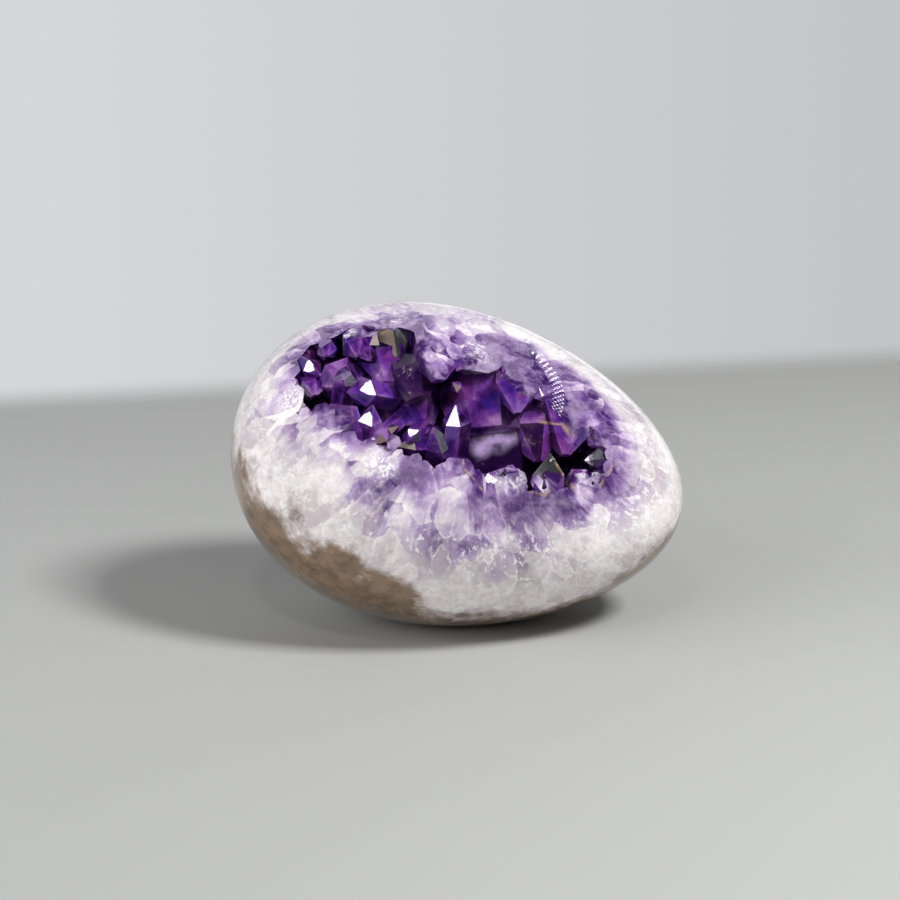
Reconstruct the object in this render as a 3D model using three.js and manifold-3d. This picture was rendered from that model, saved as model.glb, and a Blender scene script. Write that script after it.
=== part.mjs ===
// An amethyst geode ground and polished to an egg: a pale quartz body with a hollow lined by purple crystals.
// Units are millimetres, +Z is up. The origin is on the ground base, straight under the middle of the egg.
import * as THREE from "three";
import { mergeVertices } from "three/addons/utils/BufferGeometryUtils.js";
import Module from "manifold-3d";

const wasm = await Module();
wasm.setup();

const rad = THREE.MathUtils.degToRad;
const X_AXIS = new THREE.Vector3(1, 0, 0);
const Y_AXIS = new THREE.Vector3(0, 1, 0);
const Z_AXIS = new THREE.Vector3(0, 0, 1);

// The egg. Its own frame has +X along the long axis to the narrow end, +Y to the back and +Z up.
const HALF_LENGTH = 45;
const HALF_HEIGHT = 31.2;
const TAPER = -0.155; // how much slimmer the narrow end is
const ROUNDING = -0.014; // blunts both ends a little
const LEAN = rad(11); // the narrow end dips by this
const CENTRE_HEIGHT = 30.3; // the egg's middle above the table, which leaves a small ground flat
const EGG_RINGS = 22;
const EGG_SIDES = 44;

// The photograph's view, in which the large crystals are placed.
const VIEW_RISE = rad(15);
const VIEW_LEAN = rad(10.6);
const VIEW_DISTANCE = 500; // what is nearer looks larger by this much
const VIEW_RIGHT = new THREE.Vector3(Math.cos(LEAN), 0, Math.sin(LEAN)); // level, in the egg's own frame

// Two ellipsoids whose mouths break through the front and top of the egg: the purple zone and the hollow in it.
// Each has its half sizes, where its middle sits and how its mouth is turned.
const ZONE = { along: 37, across: 20.6, deep: 24, shift: -3.8, rise: 14, angle: rad(38.5), twist: rad(4) };
const HOLLOW = { along: 33.4, across: 17.2, deep: 19, shift: -4.2, rise: 17.5, angle: rad(40.5), twist: rad(3) };
const GAP = 0.3; // between the crust and the stone that it grows on
const SMALLEST_EDGE = 0.2;

// The crystals that line the hollow.
const WALL_CRYSTALS = 60;
const CRYSTAL_SIDES = 6;
const POINT_SLOPE = 1.15; // a point's height over its half width
const ROOT_DEPTH = 4;
const MOUTH_LEVEL = 0.55; // how far up the hollow's wall the crystals grow

// Width of the egg's round section at a place along its axis.
function eggRadius(along) {
  const u = THREE.MathUtils.clamp(along / HALF_LENGTH, -1, 1);
  return HALF_HEIGHT * Math.sqrt(1 - u * u) * (1 + TAPER * u + ROUNDING * u * u);
}

// A three.js geometry as a solid that can be joined and cut.
function solid(geometry) {
  const bare = geometry.clone();
  bare.deleteAttribute("normal");
  bare.deleteAttribute("uv");
  const merged = mergeVertices(bare, 1e-4);
  return new wasm.Manifold(
    new wasm.Mesh({
      numProp: 3,
      vertProperties: merged.attributes.position.array,
      triVerts: new Uint32Array(merged.index.array),
    }),
  );
}

// A solid back as a geometry, with flat faces.
function geometryOf(made) {
  const mesh = made.getMesh();
  const indexed = new THREE.BufferGeometry()
    .setAttribute("position", new THREE.BufferAttribute(new Float32Array(mesh.vertProperties), 3))
    .setIndex(new THREE.BufferAttribute(new Uint32Array(mesh.triVerts), 1));
  const faceted = indexed.toNonIndexed();
  faceted.computeVertexNormals();
  return faceted;
}

// The largest of the bodies that a cut leaves.
function largestBody(made) {
  return made.decompose().sort((a, b) => b.volume() - a.volume())[0];
}

// A spread of values from 0 to 1 that never bunch up, the same on every run.
function spread(index, channel) {
  return (index * 0.754877666 + channel * 0.569840291 + 0.31) % 1;
}

// The egg before its base is ground, by turning its outline round the long axis.
function eggForm() {
  const outline = [];
  for (let i = 0; i <= EGG_RINGS; i++) {
    const along = -HALF_LENGTH * Math.cos((Math.PI * i) / EGG_RINGS);
    outline.push(new THREE.Vector2(i % EGG_RINGS === 0 ? 0 : eggRadius(along), along));
  }
  const turned = new THREE.LatheGeometry(outline, EGG_SIDES);
  return turned.rotateZ(-Math.PI / 2);
}

// Everything below the table, as seen in the egg's own frame.
function belowTable() {
  const size = 4 * HALF_LENGTH;
  const slab = new THREE.BoxGeometry(size, size, size);
  slab.translate(0, 0, -size / 2 - CENTRE_HEIGHT);
  return slab.rotateY(-LEAN);
}

// The frame of an ellipsoid: X along its mouth, Y across it and Z out of it.
function mouthFrame({ shift, rise, angle, twist }) {
  const out = new THREE.Vector3(0, -Math.cos(angle), Math.sin(angle));
  const up = new THREE.Vector3(0, Math.sin(angle), Math.cos(angle));
  const alongMouth = X_AXIS.clone().applyAxisAngle(out, -twist);
  const acrossMouth = up.clone().applyAxisAngle(out, -twist);
  const frame = new THREE.Matrix4().makeBasis(alongMouth, acrossMouth, out);
  const middle = out.clone().multiplyScalar(rise).addScaledVector(X_AXIS, shift);
  return frame.setPosition(middle);
}

// An ellipsoid, made smaller all round by inset.
function ellipsoid(sizes, sides, rings, inset = 0) {
  const ball = new THREE.SphereGeometry(1, sides, rings);
  ball.scale(sizes.along - inset, sizes.across - inset, sizes.deep - inset);
  return ball.applyMatrix4(mouthFrame(sizes));
}

// A six-sided crystal, its foot at the origin and its tip up +Z, a little uneven as grown ones are. The ridge is
// the share of the width that the end keeps, along X: a sharp point where it is 0.
function crystalForm(halfWidth, length, index, ridge = 0) {
  const shoulder = Math.max(0.1 * length, length - POINT_SLOPE * halfWidth);
  const outline = [
    new THREE.Vector2(0, -ROOT_DEPTH),
    new THREE.Vector2(halfWidth, -ROOT_DEPTH),
    new THREE.Vector2(halfWidth, shoulder),
  ];
  if (ridge > 0) outline.push(new THREE.Vector2(halfWidth, length));
  outline.push(new THREE.Vector2(0, length));
  const form = new THREE.LatheGeometry(outline, CRYSTAL_SIDES).rotateX(Math.PI / 2);
  const place = form.attributes.position;
  for (let i = 0; i < place.count; i++) {
    const point = new THREE.Vector3().fromBufferAttribute(place, i);
    const onAxis = Math.hypot(point.x, point.y) < 0.01;
    const corner = Math.floor((Math.atan2(point.y, point.x) / Math.PI + 1) * 3 + 0.25) % CRYSTAL_SIDES;
    const wide = onAxis ? 1 : 0.88 + 0.24 * spread(index, 3 + corner);
    const drop = onAxis || Math.abs(point.z - shoulder) > 0.01 ? 0 : spread(index, 11 + corner) - 0.5;
    point.applyAxisAngle(Z_AXIS, Math.PI / 6);
    point.x *= wide;
    point.y *= wide;
    if (point.z > length - 0.01) {
      point.x = point.x * ridge + 0.4 * halfWidth * (spread(index, 1) - 0.5);
      point.y = point.y * (0.05 + 0.15 * ridge) + 0.4 * halfWidth * (spread(index, 2) - 0.5);
    }
    place.setXYZ(i, point.x, point.y, point.z + 0.35 * halfWidth * drop);
  }
  return form;
}

// A crystal that stands with its foot at one point and its tip at another. Unturned, one face looks ahead.
function crystalBetween(foot, tip, halfWidth, index, turn, ridge) {
  const rise = tip.clone().sub(foot);
  const form = crystalForm(halfWidth, rise.length(), index, ridge);
  rise.normalize();
  const right = VIEW_RIGHT.clone().addScaledVector(rise, -VIEW_RIGHT.dot(rise)).normalize();
  const own = new THREE.Matrix4().makeBasis(right, rise.clone().cross(right), rise);
  return form.rotateZ(turn).applyMatrix4(own.setPosition(foot));
}

// A point as seen in the photograph's view: right and up from the egg's middle, and sunk below its surface.
function seenPoint([right, up, sunk]) {
  let near = 0;
  let along = 0;
  let high = 0;
  for (let i = 0; i < 4; i++) {
    const shrink = 1 - near / VIEW_DISTANCE;
    along = (right * Math.cos(VIEW_LEAN) - up * Math.sin(VIEW_LEAN)) * shrink;
    high = (right * Math.sin(VIEW_LEAN) + up * Math.cos(VIEW_LEAN)) * shrink;
    near = Math.sqrt(Math.max(0, eggRadius(along) ** 2 - high ** 2)) - sunk;
  }
  return new THREE.Vector3(along, -near, high).applyAxisAngle(X_AXIS, -VIEW_RISE);
}

// The large crystals round the mouth: tip, foot, half width, turn in degrees and ridge.
const RIM_CRYSTALS = [
  // Hanging from the upper edge, from left to right.
  [[-30.5, 17.5, 4], [-32, 27, 6], 3.3, 30, 0.15],
  [[-24.4, 17, 1.5], [-23.8, 19, 15], 4.7, 12, 0.1],
  [[-29.3, 14.4, 3], [-31, 19, 8], 2.6, 10, 0.3],
  [[-20.3, 22.6, 2.5], [-21.5, 29, 8], 3.5, 20, 0.2],
  [[-13.9, 22.1, 3.4], [-14, 29.6, 11.2], 5, 30, 0],
  [[-14.9, 17.9, 4.5], [-14.4, 26, 11], 5, 0, 0.5],
  [[-8.8, 13.6, 4.4], [-11, 22, 11], 5.2, 14, 0.45],
  [[-4.6, 17.6, 0.8], [-6.4, 28, 3], 4.8, 10, 0.3],
  [[-16.6, 8.6, 10], [-16, 17, 15], 5, 20, 0.3],
  [[-9.2, 9.4, 9], [-9.8, 18, 14], 5.4, 0, 0.45],
  [[2.5, 18.7, 1.4], [2.3, 27, 4.4], 6.5, 0, 0.6],
  [[9.4, 18.6, 0.6], [9.4, 27, 2], 4.2, 10, 0.5],
  [[15.4, 14.2, 0.8], [16, 22, 3], 4.8, 0, 0.4],
  [[3.6, 8.6, 6.5], [2.4, 20, 12], 7.8, 0, 0.75],
  [[10, 12, 1.4], [11, 23, 3], 4.4, 25, 0.15],
  [[20.7, 2.7, 2], [19.7, 13, 6], 7.4, 0, 0.15],
  [[13.8, 1.8, 5], [15, 11, 9], 5, 15, 0.2],
  [[26.6, 5, 0.8], [28.6, 12, 1.6], 4.4, 0, 0.5],
  // Deep ones, seen between the others.
  [[6.6, -16, 14], [6.2, 13, 15.6], 11, 0, 0.6],
  [[-3.6, 3.8, 13], [-3.5, 8, 22], 4.8, 10, 0.4],
  [[-16.2, 6.4, 9], [-17, 10, 17], 3, 0, 0.2],
  [[-10.3, 5, 9], [-10.5, 8, 18], 3.4, 15, 0.3],
  // Standing on the lower edge, from left to right.
  [[-33.6, 16.4, 0.3], [-36, 8, 2.2], 5, 20, 0.3],
  [[-23.6, 13, 2.5], [-24.4, 4, 4], 4, 0, 0.65],
  [[-16.8, 5, 0.8], [-17.5, -4, 2], 4.2, 10, 0.5],
  [[-9, 2.3, 2], [-10, -6, 3], 3, 20, 0.25],
  [[-1.6, 2.8, 0.7], [-2.6, -9, 1.5], 5.2, 5, 0.4],
  [[5, -1.2, 1], [4.6, -12, 1], 3, 15, 0.4],
  [[9.5, -0.4, 2], [9.3, -10, 2], 2.8, 0, 0.3],
  [[16.4, 3.5, 1.5], [16.6, -8, 4], 3.4, 30, 0],
  [[22.5, 0.4, 2.5], [22, -9, 2.5], 4, 8, 0.35],
  [[29.6, 1.8, 1], [31, -7, 1], 3.4, 10, 0.3],
];

// Small pockets beside the hollow, where the crystals stand free of the polished cut: middle and radius.
const POCKETS = [
  [[-13.6, 24.8, 1.5], 4.5],
  [[-20.8, 25.4, 1.2], 4.6],
  [[-29.6, 20.3, 1.3], 3.6],
  [[-26, 23.4, 1.2], 3.6],
];

function rimCrystals() {
  return RIM_CRYSTALS.map(([tip, foot, halfWidth, turn, ridge], i) =>
    crystalBetween(seenPoint(foot), seenPoint(tip), halfWidth, i, rad(turn), ridge),
  );
}

function pockets() {
  return POCKETS.map(([middle, radius]) => {
    const { x, y, z } = seenPoint(middle);
    return new THREE.SphereGeometry(radius, 8, 5).translate(x, y, z);
  });
}

function inPocket(place) {
  return POCKETS.some(([middle, radius]) => place.distanceTo(seenPoint(middle)) < radius + 0.8);
}

// The crystals on the rest of the wall, spread evenly over the hollow and pointing inwards.
function wallCrystals() {
  const frame = mouthFrame(HOLLOW);
  const golden = Math.PI * (3 - Math.sqrt(5));
  const made = [];
  for (let i = 0; i < WALL_CRYSTALS; i++) {
    const height = -1 + ((1 + MOUTH_LEVEL) * (i + 0.5)) / WALL_CRYSTALS;
    const ring = Math.sqrt(1 - height * height);
    const foot = new THREE.Vector3(ring * Math.cos(i * golden), ring * Math.sin(i * golden), height);
    const inwards = new THREE.Vector3(-foot.x / HOLLOW.along, -foot.y / HOLLOW.across, -foot.z / HOLLOW.deep);
    inwards.normalize();
    inwards.x += 0.5 * (spread(i, 4) - 0.5);
    inwards.y += 0.5 * (spread(i, 5) - 0.5);
    inwards.z += 0.5 * (spread(i, 6) - 0.5);
    foot.multiply(new THREE.Vector3(HOLLOW.along, HOLLOW.across, HOLLOW.deep));
    const halfWidth = 2.4 + 2.4 * spread(i, 7) ** 2;
    const tip = foot.clone().addScaledVector(inwards.normalize(), 2.5 + 4 * spread(i, 8)).applyMatrix4(frame);
    foot.applyMatrix4(frame);
    if (inPocket(foot) || inPocket(tip)) continue;
    made.push(crystalBetween(foot, tip, halfWidth, i + 40, Math.PI * spread(i, 0)));
  }
  return made;
}

const egg = solid(eggForm()).subtract(solid(belowTable()));

function stoneGeometry() {
  return geometryOf(largestBody(egg.subtract(solid(ellipsoid(ZONE, 28, 16)))));
}

function crustGeometry() {
  const back = solid(ellipsoid(ZONE, 28, 16, GAP));
  let crust = back.subtract(solid(ellipsoid(HOLLOW, 20, 12)));
  for (const pocket of pockets()) {
    crust = crust.subtract(solid(pocket));
  }
  for (const crystal of [...rimCrystals(), ...wallCrystals()]) {
    crust = crust.add(solid(crystal));
  }
  return geometryOf(largestBody(crust.intersect(back).intersect(egg).simplify(SMALLEST_EDGE)));
}

const QUARTZ = new THREE.MeshStandardMaterial({ color: 0xddd2da, roughness: 0.18, metalness: 0 });
const AMETHYST = new THREE.MeshStandardMaterial({ color: 0x5b2f86, roughness: 0.08, metalness: 0 });

const stone = new THREE.Mesh(stoneGeometry(), QUARTZ);
stone.name = "egg_stone";
const crust = new THREE.Mesh(crustGeometry(), AMETHYST);
crust.name = "crystal_crust";

const geodeEgg = new THREE.Group();
geodeEgg.add(stone, crust);
geodeEgg.rotation.y = LEAN;
geodeEgg.position.z = CENTRE_HEIGHT;

export default geodeEgg;
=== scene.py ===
import math
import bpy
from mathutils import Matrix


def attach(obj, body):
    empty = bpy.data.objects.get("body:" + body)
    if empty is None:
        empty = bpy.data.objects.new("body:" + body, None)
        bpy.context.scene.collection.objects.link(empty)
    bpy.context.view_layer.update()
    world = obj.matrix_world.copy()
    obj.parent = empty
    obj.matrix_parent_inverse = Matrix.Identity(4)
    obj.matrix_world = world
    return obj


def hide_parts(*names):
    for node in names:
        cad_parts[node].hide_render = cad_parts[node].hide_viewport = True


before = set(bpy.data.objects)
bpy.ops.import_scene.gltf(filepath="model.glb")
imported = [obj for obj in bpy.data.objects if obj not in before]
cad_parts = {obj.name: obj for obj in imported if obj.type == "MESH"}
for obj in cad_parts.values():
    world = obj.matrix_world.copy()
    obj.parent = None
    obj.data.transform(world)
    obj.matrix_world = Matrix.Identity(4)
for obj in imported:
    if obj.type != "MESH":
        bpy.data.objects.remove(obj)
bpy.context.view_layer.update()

from types import SimpleNamespace

import bmesh
import bpy
from mathutils import Matrix, Quaternion, Vector

# An amethyst geode cut and polished to an egg, lying on its side with the open hollow to the front and top.
# All sizes are in metres in the part's own frame; MM turns millimetres into metres.
MM = 0.001
scene = bpy.context.scene

# The egg. Its own frame has X along the long axis to the narrow end, Y to the back and Z up.
HALF_LENGTH = 45 * MM
HALF_HEIGHT = 31.2 * MM
TAPER = -0.155
ROUNDING = -0.014
LEAN = math.radians(11)
CENTRE_HEIGHT = 30.3 * MM
OUTLINE_POINTS = 90
TURN_STEPS = 168
EGG_FRAME = Matrix.Translation((0, 0, CENTRE_HEIGHT)) @ Matrix.Rotation(LEAN, 4, "Y")

# The photograph's view, in which the large crystals are placed.
VIEW_RISE = math.radians(15)
VIEW_LEAN = math.radians(10.6)
VIEW_RIGHT = Vector((1, 0, 0))
VIEW_UP = Vector((0, math.sin(VIEW_RISE), math.cos(VIEW_RISE)))
VIEW_AHEAD = Vector((0, math.cos(VIEW_RISE), -math.sin(VIEW_RISE)))
CAMERA_DISTANCE = 0.5
FOCAL_PIXELS = 2535
FRAME_PIXELS = 900
EGG_MIDDLE_PIXEL = (458, 469.6)
PIXEL_SIZE = CAMERA_DISTANCE / FOCAL_PIXELS
CAMERA_ASIDE = (EGG_MIDDLE_PIXEL[0] - FRAME_PIXELS / 2) * PIXEL_SIZE
CAMERA_ABOVE = (EGG_MIDDLE_PIXEL[1] - FRAME_PIXELS / 2) * PIXEL_SIZE
EGG_MIDDLE = Vector((0, 0, CENTRE_HEIGHT))
CAMERA_PLACE = EGG_MIDDLE - VIEW_AHEAD * CAMERA_DISTANCE - VIEW_RIGHT * CAMERA_ASIDE + VIEW_UP * CAMERA_ABOVE

# The lamps: name, place, length, width, watts and the way of the length. The strip light has staggered rows
# of small diodes, and only its mirror image is seen. It is to the right, a little behind and 0.4 m up.
STRIP_LAMP = ("strip", EGG_MIDDLE + Vector((0.385, 0.135, 0.415)), 0.64, 0.032, 1.9, (0.187, -0.568, 0.024))
DIODES_ALONG = 24
DIODES_ACROSS = 3
DIODE_REACH = 0.2

# A small lamp in front, high up. Crystal faces that look halfway between it and the camera mirror it.
SMALL_LAMP_PLACE = EGG_MIDDLE + Vector((-0.12, -0.6, 0.75)).normalized() * 0.6
SMALL_LAMP = ("small_lamp", SMALL_LAMP_PLACE, 0.06, 0.06, 0.3, (1, 0, 0))

# Soft lamps that light the stone but aren't mirrored by it, and a weak one low behind.
SOFT_LAMPS = [
    ("side", (0.33, -0.215, 0.485), 0.13, 0.13, 4, (0, 1, 0)),
    ("front", (-0.95, -0.42, 0.36), 1.6, 0.6, 11, (1, 0, 0)),
    ("fill", (0.1, -0.9, 0.42), 0.8, 0.4, 0.9, (1, 0, 0)),
]
EDGE_LAMP = ("edge", (0.5, 1, 0.1), 1.2, 0.12, 0.25, (1, 0, 0))

# The purple zone and the hollow in it, two ellipsoids whose mouths break through the front and top.
ZONE = {"half_sizes": (37, 20.6, 24), "shift": -3.8, "rise": 14, "angle": 38.5, "twist": 4}
HOLLOW = {"half_sizes": (33.4, 17.2, 19), "shift": -4.2, "rise": 17.5, "angle": 40.5, "twist": 3}

# The crystals. Lengths and leans without a unit are shares of a crystal's half width or length.
SIDES = 6
POINT_SLOPE = 1.15
SHORTEST_SHOULDER = 0.1
NARROWEST_SIDE = 0.88
SIDE_RANGE = 0.24
POINT_LEAN = 0.4
KNEE_RANGE = 0.35
RIDGE_END = 0.05
ROOT_DEPTH = 4 * MM
END_FACE_RISE = (0.2, 0.95)
SAME_PLANE = 0.999
GROWTH = "growth"

# How the crystals lie on the hollow's wall, and how many millimetres they keep away from a pocket.
GOLDEN = math.pi * (3 - math.sqrt(5))
WALL_UNEVENNESS = 0.07
WALL_LEAN = 0.5
POCKET_MARGIN = 0.8

# How deep the crust is sunk in the stone and below its polish, and the angles from which an edge looks sharp.
SUNK_IN_STONE = 1.5 * MM
POLISH_STEP = 0.03 * MM
SHARP_ON_STONE = math.radians(30)
SHARP_ON_CRYSTALS = math.radians(8)

# Large crystals round the mouth as seen in the photograph's view: tip, foot, half width, turn and ridge, and
# for some the tones of the left and right end face. A single tone is that of the whole crystal.
# A point is so far right of the egg's middle, so far up, and so far sunk below its surface, in millimetres.
# The turn is in degrees from a face that looks straight ahead. The ridge is the share of the width that the
# end keeps, so 0 is a sharp point and 0.7 a blunt chisel.
# Tones that paint reflections on single faces in tan, cream and dark grey; the tan is also like smoky quartz.
TAN_FACE = 0.01
CREAM_FACE = 0.04
DARK_FACE = 0.99
HANGING = [
    ((-30.5, 17.5, 4), (-32, 27, 6), 3.3, 30, 0.15),
    ((-24.4, 17, 1.5), (-23.8, 19, 15), 4.7, 12, 0.1),
    ((-29.3, 14.4, 3), (-31, 19, 8), 2.6, 10, 0.3),
    ((-20.3, 22.6, 2.5), (-21.5, 29, 8), 3.5, 20, 0.2),
    ((-13.9, 22.1, 3.4), (-14, 29.6, 11.2), 5, 30, 0, TAN_FACE, DARK_FACE),
    ((-14.9, 17.9, 4.5), (-14.4, 26, 11), 5, 0, 0.5),
    ((-8.8, 13.6, 4.4), (-11, 22, 11), 5.2, 14, 0.45, 0.93),
    ((-4.6, 17.6, 0.8), (-6.4, 28, 3), 4.8, 10, 0.3),
    ((-16.6, 8.6, 10), (-16, 17, 15), 5, 20, 0.3),
    ((-9.2, 9.4, 9), (-9.8, 18, 14), 5.4, 0, 0.45),
    ((2.5, 18.7, 1.4), (2.3, 27, 4.4), 6.5, 0, 0.6),
    ((9.4, 18.6, 0.6), (9.4, 27, 2), 4.2, 10, 0.5),
    ((15.4, 14.2, 0.8), (16, 22, 3), 4.8, 0, 0.4),
    ((3.6, 8.6, 6.5), (2.4, 20, 12), 7.8, 0, 0.75),
    ((10, 12, 1.4), (11, 23, 3), 4.4, 25, 0.15),
    ((20.7, 2.7, 2), (19.7, 13, 6), 7.4, 0, 0.15),
    ((13.8, 1.8, 5), (15, 11, 9), 5, 15, 0.2),
    ((26.6, 5, 0.8), (28.6, 12, 1.6), 4.4, 0, 0.5),
]
DEEP = [
    ((6.6, -16, 14), (6.2, 13, 15.6), 11, 0, 0.6, 0.97),
    ((-3.6, 3.8, 13), (-3.5, 8, 22), 4.8, 10, 0.4),
    ((-16.2, 6.4, 9), (-17, 10, 17), 3, 0, 0.2),
    ((-10.3, 5, 9), (-10.5, 8, 18), 3.4, 15, 0.3),
]
STANDING = [
    ((-33.6, 16.4, 0.3), (-36, 8, 2.2), 5, 20, 0.3),
    ((-23.6, 13, 2.5), (-24.4, 4, 4), 4, 0, 0.65),
    ((-16.8, 5, 0.8), (-17.5, -4, 2), 4.2, 10, 0.5),
    ((-9, 2.3, 2), (-10, -6, 3), 3, 20, 0.25),
    ((-1.6, 2.8, 0.7), (-2.6, -9, 1.5), 5.2, 5, 0.4),
    ((5, -1.2, 1), (4.6, -12, 1), 3, 15, 0.4),
    ((9.5, -0.4, 2), (9.3, -10, 2), 2.8, 0, 0.3),
    ((16.4, 3.5, 1.5), (16.6, -8, 4), 3.4, 30, 0, DARK_FACE, DARK_FACE),
    ((22.5, 0.4, 2.5), (22, -9, 2.5), 4, 8, 0.35),
    ((29.6, 1.8, 1), (31, -7, 1), 3.4, 10, 0.3),
]

# Small crystals that turn one face to the front: middle of the face, half width and spin in degrees. The
# first ones mirror the small lamp there, the others have one face with a painted reflection in tan, cream or
# dark grey, the tan also like smoky quartz.
BRIGHT_FACES = [
    ((-30.6, 20.6, 0.7), 2.4, 200),
    ((-18.7, 16.3, 2.3), 3.1, 60),
    ((-19.6, 9.8, 3.2), 2.6, 20),
    ((-2.4, 9.4, 4), 2.7, 255),
    ((-10.3, 7.9, 5.4), 1.9, 120),
    ((5, -1.6, 0.4), 2.8, 90),
]
TONED_FACES = [
    ((-22.7, 17.8, 0.8), 2.4, 40, DARK_FACE),
    ((-16.2, 6.4, 5), 1.7, 100, TAN_FACE),
    ((-14.6, 8, 5.5), 1.3, 30, TAN_FACE),
    ((-10.4, 5.4, 6), 2.4, 0, CREAM_FACE),
    ((-3.6, 5, 6), 3.4, 60, DARK_FACE),
    ((-1.3, 16.2, 4.5), 1.2, 20, TAN_FACE),
    ((27, 3.4, 1.2), 2.4, 200, DARK_FACE),
    ((-20.4, 24.9, 1.8), 1.9, 20, TAN_FACE),
    ((-17.5, 25.1, 1.8), 2, 20, CREAM_FACE),
]

# Small crystals beside the pockets and at the left end of the mouth.
SMALL_TIPS = [
    ((-26.5, 22.6, 1.6), (-27.5, 27, 6), 2.2, 10, 0.3),
    ((-18.8, 21.8, 2.2), (-19, 27, 6), 1.6, 10, 0.2),
    ((-34.2, 18.6, 0.2), (-35.4, 9, 1.6), 3, 0, 0.4),
]

# Crystals spread over the rest of the wall, up to a level of the hollow's unit ball. Sizes in millimetres.
# Each crystal's index sets how uneven it is, so no two groups share their indices.
LARGE_ON_WALL = {"count": 70, "first_index": 40, "widths": (2.4, 4.8), "lengths": (2.5, 6.5), "level": 0.55}
SMALL_ON_WALL = {"count": 620, "first_index": 140, "widths": (1.2, 2.6), "lengths": (1.2, 3.4), "level": 0.75}
BRIGHT_INDEX = 900
TONED_INDEX = 920
FACING_LENGTH = 6 * MM

# Small pockets beside the hollow where the crystals stand free of the cut: middle and radius.
POCKETS = [
    ((-13.6, 24.8, 1.5), 4.5), ((-20.8, 25.4, 1.2), 4.6), ((-29.6, 20.3, 1.3), 3.6), ((-26, 23.4, 1.2), 3.6),
]


def spread(index, channel):
    """A value from 0 to 1 that never bunches up and is the same on every run."""
    return (index * 0.754877666 + channel * 0.569840291 + 0.31) % 1


def egg_radius(along):
    u = max(-1, min(1, along / HALF_LENGTH))
    return HALF_HEIGHT * math.sqrt(1 - u * u) * (1 + TAPER * u + ROUNDING * u * u)


def object_of(bm, name):
    """Puts a finished bmesh into an object of its own, with the place in its mesh."""
    mesh = bpy.data.meshes.new(name)
    bm.to_mesh(mesh)
    bm.free()
    return bpy.data.objects.new(name, mesh)


def egg_form(name, sunk=0.0):
    """The egg, turned round its long axis, leaned and ground flat underneath."""
    bm = bmesh.new()
    last = None
    for i in range(OUTLINE_POINTS + 1):
        along = -HALF_LENGTH * math.cos(math.pi * i / OUTLINE_POINTS)
        radius = 0 if i in (0, OUTLINE_POINTS) else egg_radius(along)
        point = bm.verts.new((along, radius, 0))
        if last:
            bm.edges.new((last, point))
        last = point
    bmesh.ops.spin(
        bm, geom=bm.verts[:] + bm.edges[:], cent=(0, 0, 0), axis=(1, 0, 0), angle=2 * math.pi,
        steps=TURN_STEPS, use_merge=True,
    )
    bmesh.ops.remove_doubles(bm, verts=bm.verts, dist=1e-7)
    bmesh.ops.recalc_face_normals(bm, faces=bm.faces)
    if sunk:
        for point in bm.verts:
            point.co *= 1 - sunk / HALF_HEIGHT
    bmesh.ops.transform(bm, matrix=EGG_FRAME, verts=bm.verts)
    cut = bmesh.ops.bisect_plane(
        bm, geom=bm.verts[:] + bm.edges[:] + bm.faces[:], plane_co=(0, 0, sunk), plane_no=(0, 0, 1),
        clear_inner=True,
    )
    rim = [part for part in cut["geom_cut"] if isinstance(part, bmesh.types.BMEdge)]
    bmesh.ops.holes_fill(bm, edges=rim)
    bmesh.ops.recalc_face_normals(bm, faces=bm.faces)
    return object_of(bm, name)


def mouth_frame(form):
    """The frame of an ellipsoid: X along its mouth, Y across it and Z out of it, in the part's frame."""
    angle = math.radians(form["angle"])
    out = Vector((0, -math.cos(angle), math.sin(angle)))
    up = Vector((0, math.sin(angle), math.cos(angle)))
    turn = Quaternion(out, -math.radians(form["twist"]))
    along_mouth = turn @ Vector((1, 0, 0))
    across_mouth = turn @ up
    own = Matrix((along_mouth, across_mouth, out)).transposed().to_4x4()
    middle = out * form["rise"] * MM + Vector((form["shift"] * MM, 0, 0))
    return EGG_FRAME @ Matrix.Translation(middle) @ own


def ellipsoid(name, form, grown=0.0, smooth=True):
    """The ellipsoid as a closed body. A rough one has uneven facets, like a wall of small crystals."""
    bm = bmesh.new()
    if smooth:
        bmesh.ops.create_uvsphere(bm, u_segments=96, v_segments=60, radius=1)
    else:
        bmesh.ops.create_icosphere(bm, subdivisions=4, radius=1)
        for i, point in enumerate(bm.verts):
            point.co *= 1 + WALL_UNEVENNESS * (spread(i, 0) - 0.5)
        keep_growth(bm, 0, 2)
    sizes = [half * MM + grown for half in form["half_sizes"]]
    bmesh.ops.scale(bm, vec=sizes, verts=bm.verts)
    bmesh.ops.transform(bm, matrix=mouth_frame(form), verts=bm.verts)
    return object_of(bm, name)


def seen_point(right, up, sunk):
    """A point of the photograph's view, in the part's frame. What is nearer looks larger and is drawn in."""
    near = 0
    for _ in range(4):
        shrink = MM * (1 - near / CAMERA_DISTANCE)
        along = (right * math.cos(VIEW_LEAN) - up * math.sin(VIEW_LEAN)) * shrink
        high = (right * math.sin(VIEW_LEAN) + up * math.cos(VIEW_LEAN)) * shrink
        near = math.sqrt(max(0, egg_radius(along) ** 2 - high * high)) - sunk * MM
    seen = Matrix.Rotation(-VIEW_RISE, 4, "X") @ Vector((along, -near, high))
    return EGG_FRAME @ seen


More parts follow.
